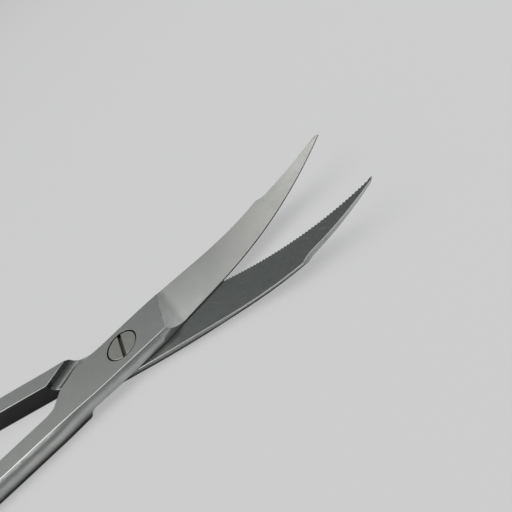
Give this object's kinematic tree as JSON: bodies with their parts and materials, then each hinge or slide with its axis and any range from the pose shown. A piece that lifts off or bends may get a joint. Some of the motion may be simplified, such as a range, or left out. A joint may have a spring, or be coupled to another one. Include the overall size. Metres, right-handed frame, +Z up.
{
  "type": "gum scissors",
  "caption": "Curved gum scissors: slim pointed blades, one finely serrated, lap at a slotted pivot screw and end in oval finger rings, for trimming soft tissue and suture.",
  "frame": {"origin": "on the pivot screw's axis, at the plane of the underside that the closed or open pair lies on", "axes": "+Z up along the pivot screw's axis towards its slotted head, +X towards the blade tips along the middle line of the opening, +Y towards the lower half's finger ring"},
  "size_m": [0.1236, 0.076, 0.0065],
  "materials": {
    "upper_half": "satin",
    "lower_half": "satin",
    "pivot_screw": "satin"
  },
  "bodies": {
    "lower_half": {"lower_half": "lower_half", "pivot_screw": "pivot_screw"},
    "upper_half": {"upper_half": "upper_half"}
  },
  "joints": [
    {"name": "blade_pivot", "type": "hinge", "parent": "lower_half", "child": "upper_half", "pos_m": [0, 0, 0.0015], "axis": [0, 0, 1], "range_deg": [-21.4, 90]}
  ]
}
